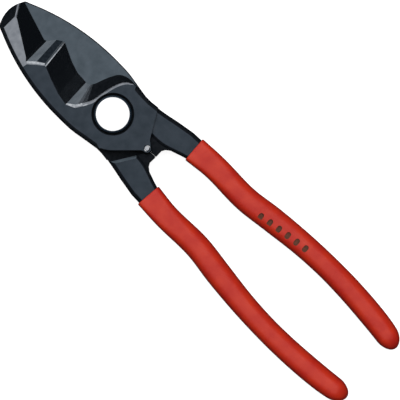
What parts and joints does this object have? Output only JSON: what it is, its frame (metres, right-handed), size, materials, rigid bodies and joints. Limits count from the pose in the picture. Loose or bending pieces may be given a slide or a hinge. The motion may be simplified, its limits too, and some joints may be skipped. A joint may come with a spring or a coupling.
{
  "type": "cable cutter",
  "caption": "Hand cable shears: two forged halves crossing at one bolt, jaws with two ground notches each, curved handles with dipped plastic grips.",
  "frame": {"origin": "on the pivot axis, in the plane of the bolt's threaded end, which is the lowest point when the shears lie on their back", "axes": "+Y from the pivot to the jaw tips, -Y to the handle ends; +X towards the handle of the front half; +Z along the pivot axis towards the bolt head"},
  "size_m": [0.0436, 0.1998, 0.0142],
  "materials": {
    "black_steel": "forged tool steel, burnished black, with ground cutting faces",
    "bright_steel": "turned and ground bright steel",
    "spring_steel": "plain hardened spring steel",
    "red_plastic": "dipped red plastic, satin"
  },
  "bodies": {
    "rear": {"rear_half": "black_steel", "rear_grip": "red_plastic"},
    "front": {"front_half": "black_steel", "front_grip": "red_plastic", "pivot_bolt": "bright_steel", "pivot_nut": "bright_steel", "disc_spring": "spring_steel", "stop_pin": "bright_steel"}
  },
  "joints": [
    {"name": "jaw_pivot", "type": "hinge", "parent": "rear", "child": "front", "pos_m": [0, 0, 0.0076], "axis": [0, 0, 1], "range_deg": [0, 60]}
  ]
}
